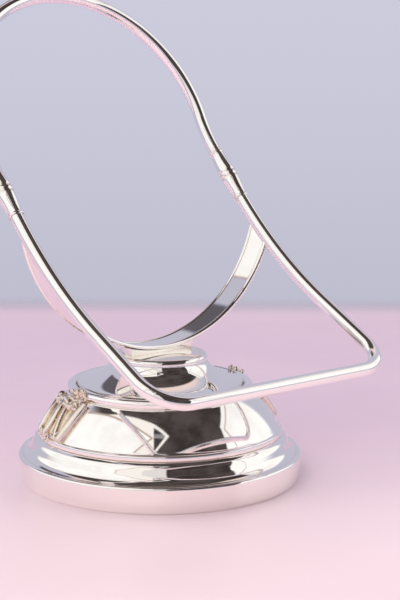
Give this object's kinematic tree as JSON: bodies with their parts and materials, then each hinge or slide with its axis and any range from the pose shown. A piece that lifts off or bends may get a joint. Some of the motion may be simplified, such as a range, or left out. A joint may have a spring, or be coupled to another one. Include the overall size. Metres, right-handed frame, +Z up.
{
  "type": "wine bottle stand",
  "caption": "Table stand for a sloping wine bottle: a weighted round foot with a stepped dome, a flared stem, a curved saddle band and a closed loop of round rod that goes round the bottle.",
  "frame": {"origin": "centre of the round underside, on the table", "axes": "+Z up; -Y towards the crossbar, where the bottle's foot points; +X across, the rod loop is symmetric about X = 0"},
  "size_m": [0.1182, 0.1422, 0.1878],
  "materials": {
    "silver_plate": "bright polished silver plate",
    "ornament_silver": "polished silver plate with warm tarnish left in the recesses",
    "band_silver": "polished silver plate, worn warm under the borders",
    "weight_iron": "raw casting",
    "plate_steel": "zinc-coated sheet",
    "fixing_steel": "plain turned",
    "fixing_brass": "plain turned",
    "felt": "pressed wool felt"
  },
  "bodies": {
    "root": {"base_shell": "silver_plate", "shoulder_ring": "silver_plate", "base_weight": "weight_iron", "base_plate": "plate_steel", "plate_screws": "fixing_steel", "felt_pad": "felt", "tie_stud": "fixing_brass", "stud_washer": "fixing_steel", "stud_nut": "fixing_brass", "stem_bell": "silver_plate", "ornament_left": "ornament_silver", "ornament_right": "ornament_silver", "ornament_pins": "fixing_brass", "saddle_pad": "silver_plate", "saddle_band": "band_silver", "border_front": "band_silver", "border_rear": "band_silver", "loop_rod": "silver_plate", "ferrule_left": "silver_plate", "ferrule_right": "silver_plate", "top_hoop": "silver_plate"}
  },
  "joints": []
}
